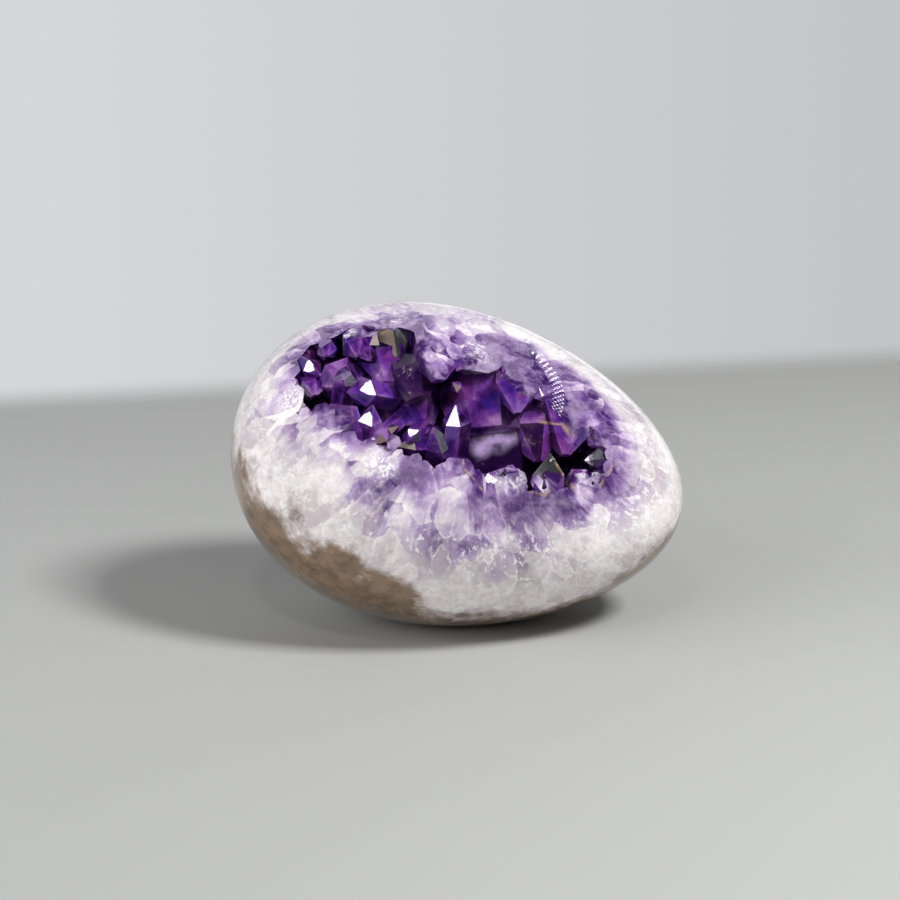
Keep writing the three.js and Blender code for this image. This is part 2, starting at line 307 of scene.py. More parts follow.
def crystal_form(half_width, length, index, root, ridge=0.0, tone=None):
    """A six-sided crystal on the origin with its tip up Z and a ridge along X."""
    shoulder = max(SHORTEST_SHOULDER * length, length - POINT_SLOPE * half_width)
    bm = bmesh.new()
    bmesh.ops.create_cone(
        bm, cap_ends=True, cap_tris=False, segments=SIDES, radius1=half_width, radius2=half_width,
        depth=shoulder + root,
    )
    for point in bm.verts:
        side = int((math.atan2(point.co.y, point.co.x) + math.pi) / (math.pi / 3) + 0.25) % SIDES
        wide = NARROWEST_SIDE + SIDE_RANGE * spread(index, 3 + side)
        point.co.x *= wide
        point.co.y *= wide
    bmesh.ops.translate(bm, vec=(0, 0, (shoulder - root) / 2), verts=bm.verts)
    bmesh.ops.rotate(bm, cent=(0, 0, 0), matrix=Matrix.Rotation(math.pi / 6, 3, "Z"), verts=bm.verts)
    cap = max(bm.faces, key=lambda face: face.calc_center_median().z)
    knees = cap.verts[:]
    point = bmesh.ops.extrude_discrete_faces(bm, faces=[cap])["faces"][0]
    bmesh.ops.scale(bm, vec=(max(RIDGE_END, ridge), RIDGE_END + 0.15 * ridge, 1), verts=point.verts)
    lean = [POINT_LEAN * (spread(index, channel) - 0.5) for channel in (1, 2)]
    lean = Vector((*lean, 0)) * half_width
    bmesh.ops.translate(bm, vec=lean + Vector((0, 0, length - shoulder)), verts=point.verts)
    for i, knee in enumerate(knees):
        knee.co.z += KNEE_RANGE * half_width * (spread(index, 11 + i) - 0.5)
    keep_growth(bm, index, length, tone)
    return bm


def keep_growth(bm, index, length, tone=None):
    """Splits each face from its middle and keeps how it grew, for the material: red is 0 at a face's edges
    and 1 in its middle, green is 1 at the tip, both for painted light, blue is the face's tone, alpha is 1 on
    a grown face."""
    middles = bmesh.ops.poke(bm, faces=bm.faces)["verts"]
    growth = bm.loops.layers.float_color.new(GROWTH)
    for i, middle in enumerate(middles):
        own_tone = 0.13 + 0.83 * spread(index + 5 * i, 9) if tone is None else tone
        for face in middle.link_faces:
            for corner in face.loops:
                height = max(0, corner.vert.co.z / length)
                corner[growth] = (1 if corner.vert == middle else 0, height, own_tone, 1)


def stood_on(bm, foot, tip, turn):
    """Stands a crystal on its foot towards its tip, turned from a face that looks straight ahead."""
    rise = (tip - foot).normalized()
    right = Vector((1, 0, 0)) - rise * rise.x
    right.normalize()
    own = Matrix((right, rise.cross(right), rise)).transposed().to_4x4()
    stand = Matrix.Translation(foot) @ own @ Matrix.Rotation(turn, 4, "Z")
    bmesh.ops.transform(bm, matrix=stand, verts=bm.verts)
    return object_of(bm, "crystal")


def end_faces(bm):
    """The sloping faces round the tip of a crystal that stands on the origin."""
    bm.normal_update()
    return [face for face in bm.faces if END_FACE_RISE[0] < face.normal.z < END_FACE_RISE[1]]


def give_tone(bm, face, tone):
    growth = bm.loops.layers.float_color[GROWTH]
    for corner in face.loops:
        corner[growth] = (*corner[growth][:2], tone, 1)


def tone_ends(bm, left, right):
    """Gives the end faces to the left and right of a crystal's front their own tones."""
    for face in end_faces(bm):
        give_tone(bm, face, left if face.normal.x < 0 else right)


def rim_crystals():
    made = []
    for i, (tip, foot, half_width, turn, ridge, *tones) in enumerate(HANGING + DEEP + STANDING + SMALL_TIPS):
        tip, foot = seen_point(*tip), seen_point(*foot)
        own_tone = tones[0] if len(tones) == 1 else None
        bm = crystal_form(half_width * MM, (tip - foot).length, i, ROOT_DEPTH, ridge, own_tone)
        if len(tones) == 2:
            turned = Matrix.Rotation(math.radians(turn), 3, "Z")
            bmesh.ops.rotate(bm, cent=(0, 0, 0), matrix=turned, verts=bm.verts)
            tone_ends(bm, *tones)
            turn = 0
        made.append(stood_on(bm, foot, tip, math.radians(turn)))
    return made


def facing_crystal(middle, half_width, spin, aim, index, tone=None):
    """A small crystal whose largest end face lies at a seen point and mirrors what lies in a direction."""
    place = seen_point(*middle)
    to_front = (CAMERA_PLACE - place).normalized()
    facing = (to_front + aim(place)).normalized()
    bm = crystal_form(half_width * MM, FACING_LENGTH, index, ROOT_DEPTH)
    chosen = max(end_faces(bm), key=lambda face: face.calc_area())
    for face in bm.faces:
        if tone is not None and face.normal.dot(chosen.normal) > SAME_PLANE:
            give_tone(bm, face, tone)
    turn = chosen.normal.rotation_difference(facing).to_matrix().to_4x4()
    turn = Matrix.Rotation(math.radians(spin), 4, facing) @ turn
    moved = place - turn @ chosen.calc_center_median()
    bmesh.ops.transform(bm, matrix=Matrix.Translation(moved) @ turn, verts=bm.verts)
    return object_of(bm, "crystal")


def facing_crystals():
    def to_lamp(place):
        return (SMALL_LAMP_PLACE - place).normalized()

    made = [facing_crystal(*face, to_lamp, BRIGHT_INDEX + i) for i, face in enumerate(BRIGHT_FACES)]
    for i, (middle, half_width, spin, tone) in enumerate(TONED_FACES):
        aside = Vector((spread(i, 1) - 0.5, -0.4, spread(i, 2) - 0.5))
        made.append(facing_crystal(middle, half_width, spin, lambda place: aside, TONED_INDEX + i, tone))
    return made


def pockets():
    made = []
    for middle, radius in POCKETS:
        bm = bmesh.new()
        bmesh.ops.create_icosphere(bm, subdivisions=2, radius=radius * MM)
        keep_growth(bm, 1, 2)
        bmesh.ops.translate(bm, vec=seen_point(*middle), verts=bm.verts)
        made.append(object_of(bm, "pocket"))
    return made


def in_pocket(place):
    return any(
        (place - seen_point(*middle)).length < (radius + POCKET_MARGIN) * MM
        for middle, radius in POCKETS
    )


def wall_point(index, count, level):
    """A place on the hollow's unit ball, spread evenly up to a level near the mouth."""
    height = -1 + (1 + level) * (index + 0.5) / count
    ring = math.sqrt(1 - height * height)
    return Vector((ring * math.cos(index * GOLDEN), ring * math.sin(index * GOLDEN), height))


def wall_crystals(count, first_index, widths, lengths, level):
    """Crystals spread over the wall of the hollow, pointing inwards."""
    own = mouth_frame(HOLLOW)
    sizes = Vector([half * MM for half in HOLLOW["half_sizes"]])
    made = []
    for i in range(count):
        unit = wall_point(i, count, level)
        inwards = Vector([-unit[axis] / sizes[axis] for axis in range(3)]).normalized()
        inwards += WALL_LEAN * Vector([spread(i, 4 + axis) - 0.5 for axis in range(3)])
        foot = Vector([unit[axis] * sizes[axis] for axis in range(3)])
        half_width = (widths[0] + (widths[1] - widths[0]) * spread(i, 7) ** 2) * MM
        length = (lengths[0] + (lengths[1] - lengths[0]) * spread(i, 8)) * MM
        foot, tip = own @ foot, own @ (foot + inwards.normalized() * length)
        if in_pocket(foot) or in_pocket(tip):
            continue
        bm = crystal_form(half_width, length, i + first_index, ROOT_DEPTH)
        made.append(stood_on(bm, foot, tip, math.pi * spread(i, 0)))
    return made


def combined(base, name, steps):
    """Runs the cuts and joins on a base body, each with one body or a list of them, and keeps the result."""
    scene.collection.objects.link(base)
    for operation, tools in steps:
        change = base.modifiers.new(operation.lower(), "BOOLEAN")
        change.operation = operation
        change.solver = "MANIFOLD"
        if isinstance(tools, list):
            group = bpy.data.collections.new("tools")
            for tool in tools:
                group.objects.link(tool)
            change.operand_type = "COLLECTION"
            change.collection = group
        else:
            change.object = tools
    graph = bpy.context.evaluated_depsgraph_get()
    mesh = bpy.data.meshes.new_from_object(base.evaluated_get(graph))
    mesh.name = name
    mesh.materials.clear()
    made = bpy.data.objects.new(name, mesh)
    scene.collection.objects.link(made)
    bpy.data.objects.remove(base)
    return made


def largest_body(piece):
    """Drops loose chips that a cut leaves, so the piece is one body."""
    bm = bmesh.new()
    bm.from_mesh(piece.data)
    unseen = set(bm.verts)
    bodies = []
    while unseen:
        front = [unseen.pop()]
        body = list(front)
        while front:
            for edge in front.pop().link_edges:
                for point in edge.verts:
                    if point in unseen:
                        unseen.remove(point)
                        front.append(point)
                        body.append(point)
        bodies.append(body)
    bodies.sort(key=len)
    for body in bodies[:-1]:
        bmesh.ops.delete(bm, geom=body, context="VERTS")
    bm.to_mesh(piece.data)
    bm.free()


def srgb(red, green, blue):
    """A colour in 0 to 255 steps, as the linear values that a shader takes."""
    values = [step / 255 for step in (red, green, blue)]
    return tuple(v / 12.92 if v <= 0.04045 else ((v + 0.055) / 1.055) ** 2.4 for v in values) + (1,)


class Nodes:
    """Short calls that add nodes to one tree."""

    def __init__(self, owner):
        owner.use_nodes = True
        self.tree = owner.node_tree

    def node(self, kind, **settings):
        made = self.tree.nodes.new(kind)
        for name, value in settings.items():
            setattr(made, name, value)
        return made

    def join(self, source, socket):
        if isinstance(source, bpy.types.NodeSocket):
            self.tree.links.new(source, socket)
        else:
            socket.default_value = source

    def math(self, operation, first, second=0.0, third=0.0, clamp=False):
        made = self.node("ShaderNodeMath", operation=operation, use_clamp=clamp)
        for value, socket in zip((first, second, third), made.inputs):
            self.join(value, socket)
        return made.outputs[0]

    def vector(self, operation, first, second=(0, 0, 0), scale=None):
        made = self.node("ShaderNodeVectorMath", operation=operation)
        self.join(first, made.inputs[0])
        self.join(second, made.inputs[1])
        if scale is not None:
            self.join(scale, made.inputs["Scale"])
        return made.outputs["Value"] if operation in ("LENGTH", "DOT_PRODUCT") else made.outputs[0]

    def noise(self, where, scale, detail=4.0, roughness=0.55, distortion=0.0):
        made = self.node("ShaderNodeTexNoise")
        self.join(where, made.inputs["Vector"])
        made.inputs["Scale"].default_value = scale
        made.inputs["Detail"].default_value = detail
        made.inputs["Roughness"].default_value = roughness
        made.inputs["Distortion"].default_value = distortion
        return made

    def cells(self, where, scale, feature="F1", randomness=1.0):
        made = self.node("ShaderNodeTexVoronoi", feature=feature)
        self.join(where, made.inputs["Vector"])
        made.inputs["Scale"].default_value = scale
        made.inputs["Randomness"].default_value = randomness
        return made

    def ramp(self, value, stops):
        made = self.node("ShaderNodeValToRGB")
        self.join(value, made.inputs["Fac"])
        band = made.color_ramp
        while len(band.elements) < len(stops):
            band.elements.new(0.5)
        for element, (position, colour) in zip(band.elements, stops):
            element.position = position
            element.color = colour
        return made.outputs["Color"]

    def range(self, value, low, high, new_low=0.0, new_high=1.0, soft=True):
        made = self.node("ShaderNodeMapRange", interpolation_type="SMOOTHSTEP" if soft else "LINEAR")
        for name, amount in zip(("Value", "From Min", "From Max", "To Min", "To Max"),
                                (value, low, high, new_low, new_high)):
            self.join(amount, made.inputs[name])
        return made.outputs["Result"]

    def mix(self, amount, first, second, blend="MIX"):
        made = self.node("ShaderNodeMix", data_type="RGBA", blend_type=blend)
        self.join(amount, made.inputs["Factor"])
        for value, socket in zip((first, second), [s for s in made.inputs if s.type == "RGBA"]):
            self.join(value, socket)
        return next(s for s in made.outputs if s.type == "RGBA")


class Shading(Nodes):
    """Short calls that add nodes to one material."""

    def __init__(self, name):
        self.material = bpy.data.materials.new(name)
        super().__init__(self.material)
        self.shader = self.tree.nodes["Principled BSDF"]
        self.place = self.node("ShaderNodeTexCoord").outputs["Object"]

    def lay(self, body, colour, *shares):
        """Lays a colour over another, by the product of some shares."""
        share = shares[0]
        for other in shares[1:]:
            share = self.math("MULTIPLY", share, other)
        return self.mix(share, body, colour)

    def within(self, form_frame, half_sizes):
        """Place as seen in an ellipsoid's frame, where its wall is at length 1."""
        made = self.node("ShaderNodeMapping", vector_type="TEXTURE")
        self.join(self.place, made.inputs["Vector"])
        made.inputs["Location"].default_value = form_frame.translation
        made.inputs["Rotation"].default_value = form_frame.to_euler()
        made.inputs["Scale"].default_value = half_sizes
        return made.outputs["Vector"]


# Colours of the stone, tuned until the tones of a render came near those of the photograph.
DEEP_PURPLE = srgb(58, 28, 88)
PURPLE = srgb(88, 50, 124)
MID_PURPLE = srgb(136, 102, 164)
LILAC = srgb(188, 166, 202)
PALE_LILAC = srgb(221, 211, 219)
WHITE_QUARTZ = srgb(249, 242, 243)
PINK_WHITE = srgb(241, 228, 233)
GREY_QUARTZ = srgb(205, 188, 197)
PINK_GREY = srgb(190, 170, 176)
TAN = srgb(138, 110, 84)
DULL_TAN = srgb(100, 78, 58)
BROWN = srgb(74, 54, 38)
GOLD_STAIN = srgb(190, 160, 124)
RIND = srgb(56, 57, 50)
RIND_PALE = srgb(104, 98, 84)
GLINT = srgb(255, 254, 252)

# Where the crystals grew towards: the middle of the mouth, and how far its rim is from there.
GROWTH_RISE = 26
RIM_HALF_SIZES = (33.5, 16, 15)

# How many columns and chips of quartz there are to the metre near the rim, and how fast they widen outwards.
BROAD_COLUMNS = 135
SLIM_COLUMNS = 330
CHIPS = 760
COLUMN_WIDENING = -0.78
FIBRE_WIDENING = -0.93

# The stone's colours by growth, from the deep purple near the crystals to the outermost, in millimetres.
GROWTH_RANGE = (-12, 34)
GROWTH_COLOURS = [
    (0.0, DEEP_PURPLE), (0.23, PURPLE), (0.32, MID_PURPLE), (0.4, LILAC), (0.5, PALE_LILAC),
    (0.6, WHITE_QUARTZ), (0.88, PINK_WHITE), (1.0, PINK_GREY),
]

# Clouds in the quartz as seen in the photograph's view: middle, radius, and how much paler (above 0) or more
# purple (below 0) the stone is there, in millimetres of growth.
CLOUDS = [
    ((-5.4, 28.3, 0), 5, 8), ((-6.8, 23, 1), 6.5, 7), ((1, 25.8, 0), 5, 7), ((-33.6, 13.5, 0), 6, 9),
    ((-28.7, 8.3, 0), 7, 7), ((-23.4, 1.8, 0), 8, 8), ((-16.5, 1, 0), 6.5, 9), ((-2.6, -1, 0), 6, 8),
    ((5.3, -2.4, 0), 4, 7), ((31, 12, 0), 7, 4), ((-24, 11, 3), 5.5, 5), ((24.3, 10.4, 0), 4, 6),
    ((16.5, 22.2, 0), 4.5, 6), ((-3, -15, 0), 7, -5), ((12.5, -17, 0), 8, -8), ((14.5, -2.5, 0), 3, 5),
    ((-9, 29.2, 0), 5, -11), ((-18, 27.4, 0), 6, -6), ((-23.4, 25.1, 0), 5, -5), ((2, -7.2, 0), 5, -3),
    ((10.7, -8.2, 0), 6, -8), ((18.5, -5.6, 0), 4.5, -7), ((-17.6, -6.4, 0), 3.6, -6),
    ((-10.6, -0.6, 0), 4, -12),
    ((28, 7.4, 0), 6, 3), ((15, 14, 0), 9, 0.5), ((10.7, 24, 0), 5, -5), ((-33, 21.5, 0), 5, -6),
    ((2.6, 19.6, 1), 4.5, -8), ((3.5, 28.6, 0), 6, 9), ((10.7, 27.4, 0), 5, 9), ((16, 25.4, 0), 5, 9),
    ((19.7, 22.4, 0), 5, 8), ((25, 18.9, 0), 5.5, 7), ((29, 15, 0), 5.5, 6), ((33, 10, 0), 5.5, 5),
    ((-29, -4, 0), 9, 12), ((-38, 5, 0), 7, 6), ((23.6, -3.6, 0), 4, 10), ((28, -10, 0), 8, 3),
    ((4.5, -21, 0), 6, -8), ((20, -19, 0), 6, -5),
    ((-5, 20.6, 1), 6, 5), ((26.3, 8, 0), 4, 6), ((-13.4, -8, 0), 4, 6),
]

# Thin iron stains between the crystals, as seen in the photograph's view: two ends and half width.
STAINS = [
    ((17.7, 1.8), (21.8, -3.2), 0.75), ((30.1, 1.8), (26.8, -3.2), 0.5), ((14.6, 9.9), (19, 9), 0.5),
    ((19, 9), (21.3, 6.6), 0.85), ((-0.4, 2.2), (0.1, 0), 0.4), ((0.1, 0), (3.2, -3.9), 0.35),
    ((12.1, -3.9), (15.4, -4.9), 0.65), ((15.4, -4.9), (16.4, -3.7), 0.45),
]

# Spots where the cut went through a loose crust of small crystals, which glitters: middle and radius.
ROUGH_SPOTS = [((2.5, 23.7, 0), 4.5), ((-16.9, 0.7, 0), 4.5), ((24, -0.3, 1), 4), ((-13.6, 30, 0), 3.5),
               ((-34, 14.5, 0), 4.5), ((9, -1.5, 1), 4), ((-23, 26.5, 1), 3), ((23.6, 1.6, 5), 4)]

# The nodule's own shell, outside which the stone turns tan and brown.
SHELL_MIDDLE = Vector((0.6, -3.6, 7.3)) * MM
SHELL_HALF_SIZES = Vector((46.9, 33.1, 36.5)) * MM

# Spots where the tan shell reaches further up the egg: middle, radius and how much.
TAN_SPOTS = [((-14, -24, 0), 8, 0.035), ((-25.5, -18, 0), 6.5, 0.022)]


def near_spot(make, middle, radius):
    """1 at the middle of a spot, softly 0 at its radius."""
    away = make.within(Matrix.Translation(seen_point(*middle)), [radius * MM] * 3)
    return make.range(make.vector("LENGTH", away), 0.2, 1, 1, 0)


def near_line(make, start, end, half_width):
    """1 along a line of the photograph's view, on whatever lies there near the surface."""
    first, last = seen_point(*start, 2), seen_point(*end, 2)
    way = last - first
    way -= VIEW_AHEAD * way.dot(VIEW_AHEAD)
    sway = make.noise(make.place, 130, 2).outputs["Color"]
    sway = make.vector("SCALE", make.vector("SUBTRACT", sway, (0.5, 0.5, 0.5)), scale=2.4 * MM)
    offset = make.vector("ADD", make.vector("SUBTRACT", make.place, first), sway)
    deep = make.vector("DOT_PRODUCT", offset, VIEW_AHEAD)
    offset = make.vector("SUBTRACT", offset, make.vector("SCALE", VIEW_AHEAD, scale=deep))
    share = make.math("DIVIDE", make.vector("DOT_PRODUCT", offset, way), way.length_squared, clamp=True)
    away = make.vector("LENGTH", make.vector("SUBTRACT", offset, make.vector("SCALE", way, scale=share)))
    line = make.range(away, 0, half_width * MM, 1, 0)
    return make.math("MULTIPLY", line, make.range(make.math("ABSOLUTE", deep), 6 * MM, 9 * MM, 1, 0))


def split_tone(make, cells):
    """The random colour of each cell as three plain values."""
    made = make.node("ShaderNodeSeparateColor")
    make.join(cells.outputs["Color"], made.inputs["Color"])
    return [made.outputs[name] for name in ("Red", "Green", "Blue")]


def stone_colour(make):
    """The colour of cut and polished quartz by where it lies: columns that point at the hollow, purple near
    it, milky further out, tan and brown in the outermost shell. Also gives the growth and a fine relief."""
    own = mouth_frame({**HOLLOW, "rise": GROWTH_RISE})
    inside = make.within(own, [half * MM for half in RIM_HALF_SIZES])
    reach = make.vector("LENGTH", inside)
    ray = make.within(own, (1, 1, 1))
    length = make.vector("LENGTH", ray)
    from_rim = make.math("SUBTRACT", length, make.math("DIVIDE", length, reach))
    depth = make.math("DIVIDE", from_rim, MM)

    # Places slide towards the rim along the growth, which draws every pattern out into columns.
    wander = make.noise(make.place, 110, 3).outputs["Color"]
    wander = make.vector("SCALE", make.vector("SUBTRACT", wander, (0.5, 0.5, 0.5)), scale=3.5 * MM)
    bent = make.vector("ADD", ray, wander)
    column_place = make.vector("SCALE", bent, scale=make.math("POWER", reach, COLUMN_WIDENING))
    fibre_place = make.vector("SCALE", bent, scale=make.math("POWER", reach, FIBRE_WIDENING))

    # Near the rim the columns are broad. Further out they split into slim ones, and those into chips.
    broad_red, broad_green, _ = split_tone(make, make.cells(column_place, BROAD_COLUMNS))
    slim_red, slim_green, slim_blue = split_tone(make, make.cells(column_place, SLIM_COLUMNS))
    chip_red, chip_green, _ = split_tone(make, make.cells(column_place, CHIPS))
    broad_seam = make.cells(column_place, BROAD_COLUMNS, "DISTANCE_TO_EDGE").outputs["Distance"]
    slim_seam = make.cells(column_place, SLIM_COLUMNS, "DISTANCE_TO_EDGE").outputs["Distance"]
    near_rim = make.range(depth, 3, 13, 1, 0)
    far_out = make.range(depth, 2, 12, 0, 1)

    end = make.math("MULTIPLY", make.math("SUBTRACT", broad_red, 0.5), make.range(depth, 3, 15, 9, 2))
    slim_end = make.math("MULTIPLY_ADD", slim_red, 9, -4.5)
    drift = make.math("MULTIPLY_ADD", make.noise(make.place, 45, 2).outputs["Fac"], 14, -7)
    haze = make.math("MULTIPLY_ADD", make.noise(make.place, 260, 5, 0.65).outputs["Fac"], 12, -6)
    zone = make.math("ADD", make.math("ADD", depth, end), make.math("ADD", slim_end, haze))
    zone = make.math("ADD", zone, drift)
    paleness = 0.0
    for middle, radius, amount in CLOUDS:
        paleness = make.math("MULTIPLY_ADD", near_spot(make, middle, radius), amount, paleness)
    zone = make.math("ADD", zone, paleness)
    body = make.ramp(make.range(zone, *GROWTH_RANGE, soft=False), GROWTH_COLOURS)

    # Inside the clear purple part, planes of growth and clouds make it lighter and darker.
    clouds = make.noise(make.place, 200, 5, 0.6).outputs["Fac"]
    blur = make.noise(make.place, 500, 3).outputs["Color"]
    blur = make.vector("SCALE", make.vector("SUBTRACT", blur, (0.5, 0.5, 0.5)), scale=1.2 * MM)
    planes, hue, _ = split_tone(make, make.cells(make.vector("ADD", make.place, blur), 190))
    clear = make.range(zone, 8, -2)
    dim = make.math("ADD", make.range(clouds, 0.56, 0.42, 0, 0.4), make.range(planes, 0.55, 1, 0, 0.3))
    body = make.lay(body, FACE_DEEP, dim, clear)
    lit = make.math("ADD", make.range(clouds, 0.46, 0.66, 0, 0.5), make.range(planes, 0.5, 0, 0, 0.35))
    body = make.lay(body, LILAC, lit, clear)

    # Fibres along the columns, and pale seams between them.
    pale = make.mix(make.range(zone, 0, 9), LILAC, WHITE_QUARTZ)
    strength = make.range(zone, -6, 6, 0.12, 0.6)
    fibres = make.noise(fibre_place, 620, 5, 0.62).outputs["Fac"]
    streak = make.noise(fibre_place, 240, 4, 0.6).outputs["Fac"]
    body = make.lay(body, GREY_QUARTZ, make.range(streak, 0.5, 0.36, 0, 0.35), far_out)
    body = make.lay(body, pale, make.range(fibres, 0.5, 0.68), strength)
    body = make.lay(body, GREY_QUARTZ, make.range(fibres, 0.3, 0.47, 0.55, 0), far_out)
    seam = make.range(broad_seam, 0.0, 0.035, 0.28, 0)
    body = make.lay(body, LILAC, seam, near_rim, make.range(streak, 0.4, 0.6))
    broken = make.range(make.noise(make.place, 400, 3).outputs["Fac"], 0.45, 0.6)
    body = make.lay(body, GLINT, make.range(slim_seam, 0.0, 0.06, 0.6, 0), broken, far_out)

    # Each column and chip catches the light a little differently, and so does the fine grain.
    grain = make.noise(make.place, 800, 4, 0.7).outputs["Fac"]
    tint = make.math("MULTIPLY_ADD", slim_green, 0.12, 0.83)
    tint = make.math("ADD", tint, make.range(grain, 0.36, 0.64, -0.12, 0.1, soft=False))
    tint = make.math("ADD", tint, make.math("MULTIPLY_ADD", broad_green, 0.16, -0.08))
    tint = make.math("ADD", tint, make.math("MULTIPLY_ADD", chip_green, 0.08, -0.02))
    tint = make.math("ADD", tint, make.math("MULTIPLY_ADD", streak, 0.4, -0.14))
    shade = make.node("ShaderNodeCombineColor")
    for name in ("Red", "Green", "Blue"):
        make.join(tint, shade.inputs[name])
    body = make.mix(1.0, body, shade.outputs["Color"], "MULTIPLY")
    icy = make.range(chip_red, 0.86, 0.92)
    body = make.lay(body, GLINT, icy, make.range(fibres, 0.45, 0.62, 0, 0.7), far_out)
    sparks = make.range(make.noise(fibre_place, 1300, 3, 0.6).outputs["Fac"], 0.58, 0.64, 0, 0.85)
    body = make.lay(body, GLINT, sparks, far_out)
    smoky = make.range(slim_blue, 0.86, 0.9)
    body = make.lay(body, GREY_QUARTZ, smoky, make.range(streak, 0.6, 0.45, 0, 0.6), far_out)

    # Bright curved fractures, and spots of loose glitter.
    folds = make.noise(make.place, 210, 4, 0.6, 0.8).outputs["Fac"]
    crack = make.range(make.math("ABSOLUTE", make.math("SUBTRACT", folds, 0.5)), 0.0, 0.01, 1, 0)
    patch = make.range(make.noise(make.place, 95, 2).outputs["Fac"], 0.54, 0.64)
    crack = make.math("MULTIPLY", crack, patch)
    body = make.lay(body, GLINT, crack, make.range(zone, 0, 9, 0.0, 0.7))
    rough = 0.0
    for middle, radius in ROUGH_SPOTS:
        rough = make.math("MAXIMUM", rough, near_spot(make, middle, radius))
    grit = make.noise(make.place, 1500, 3, 0.6).outputs["Fac"]
    glitter = make.mix(make.range(grit, 0.47, 0.56), LILAC, GLINT)
    loose = make.range(make.noise(make.place, 480, 3).outputs["Fac"], 0.42, 0.58, 0, 0.85)
    glitter_share = make.math("MULTIPLY", rough, loose)
    body = make.mix(glitter_share, body, glitter)
    stain = 0.0
    for start, end, half_width in STAINS:
        stain = make.math("MAXIMUM", stain, near_line(make, start, end, half_width))
    worn = make.range(make.noise(make.place, 700, 3).outputs["Fac"], 0.4, 0.56, 0.1, 0.8)
    stain = make.math("MULTIPLY", stain, worn)
    body = make.mix(stain, body, GOLD_STAIN)

    # The tan and brown shell and its dark rind. The brown and the rind are the shell's own colours and also
    # painted shade, darker towards the underside.
    in_shell = make.within(Matrix.Translation(EGG_FRAME @ SHELL_MIDDLE), SHELL_HALF_SIZES)
    shell = make.vector("LENGTH", in_shell)
    ragged = make.noise(make.place, 120, 6, 0.65).outputs["Fac"]
    shell = make.math("ADD", shell, make.math("MULTIPLY_ADD", ragged, 0.12, -0.06))
    for middle, radius, amount in TAN_SPOTS:
        shell = make.math("MULTIPLY_ADD", near_spot(make, middle, radius), amount, shell)
    mottle = make.noise(make.place, 330, 5, 0.65).outputs["Fac"]
    crust = make.mix(make.range(mottle, 0.32, 0.62), DULL_TAN, TAN)
    body = make.mix(make.range(shell, 0.96, 0.992), body, crust)
    # Painted shade in part: the brown and the rind darken the egg towards its underside.
    body = make.mix(make.range(shell, 1.02, 1.045, 0, 0.8), body, BROWN)
    rind = make.mix(make.range(ragged, 0.35, 0.65), RIND, RIND_PALE)
    rind = make.mix(make.range(mottle, 0.55, 0.7, 0, 0.6), rind, BROWN)
    rind = make.mix(make.range(grain, 0.55, 0.7, 0, 0.35), rind, TAN)
    body = make.mix(make.range(shell, 1.06, 1.09), body, rind)
    relief = make.math("ADD", make.math("MULTIPLY", crack, 0.6), make.math("MULTIPLY", grain, 0.15))
    relief = make.math("ADD", relief, make.math("MULTIPLY", rough, grit))
    return SimpleNamespace(
        body=body, zone=zone, paleness=paleness, relief=relief, clouds=clouds, planes=planes, hue=hue,
        on_faces=[(glitter_share, glitter), (stain, GOLD_STAIN)],
    )


def relief_on(make, height, strength, distance):
    bump = make.node("ShaderNodeBump")
    make.join(height, bump.inputs["Height"])
    bump.inputs["Strength"].default_value = strength
    bump.inputs["Distance"].default_value = distance
    make.join(bump.outputs["Normal"], make.shader.inputs["Normal"])


def polished_quartz():
    """Milky quartz with a high polish."""
    make = Shading("polished_quartz")
    stone = stone_colour(make)
    make.join(stone.body, make.shader.inputs["Base Color"])
    make.shader.inputs["Roughness"].default_value = 0.22
    make.shader.inputs["IOR"].default_value = 1.54
    make.shader.inputs["Subsurface Weight"].default_value = 0.15
    make.shader.inputs["Subsurface Radius"].default_value = (1.0, 0.8, 0.9)
    make.shader.inputs["Subsurface Scale"].default_value = 0.002
    make.shader.inputs["Coat Weight"].default_value = 0.8
    make.shader.inputs["Coat Roughness"].default_value = 0.03
    relief_on(make, stone.relief, 0.12, 0.1 * MM)
    return make.material


# Colours of the grown faces, tuned in the same way.
FACE_EDGE = srgb(172, 124, 186)
FACE_BAND = srgb(122, 66, 152)
FACE_PURPLE = srgb(84, 36, 126)
FACE_DEEP = srgb(50, 18, 84)
FACE_DARK = srgb(24, 8, 36)
FACE_VIOLET = srgb(72, 44, 170)
FACE_MAGENTA = srgb(120, 44, 118)
DARK_SMOKY_REFLECTION = srgb(64, 52, 46)
SMOKY_TAN_REFLECTION = srgb(158, 140, 124)
CREAM = srgb(206, 190, 180)
GREY_GREEN = srgb(60, 62, 60)
GREY_GLASS = srgb(122, 120, 130)
# The colour of the painted glow inside a deep crystal.
PAINTED_GLOW = srgb(222, 190, 246)

# Painted glow: pale spots in a deep crystal's colour that stand in for soft light caught inside it: middle
# and radius.
PAINTED_GLOWS = [((6.6, 6.2, 8.6), 3.6), ((3.4, 4.8, 8.8), 3), ((9, 6.6, 8.6), 2.6)]


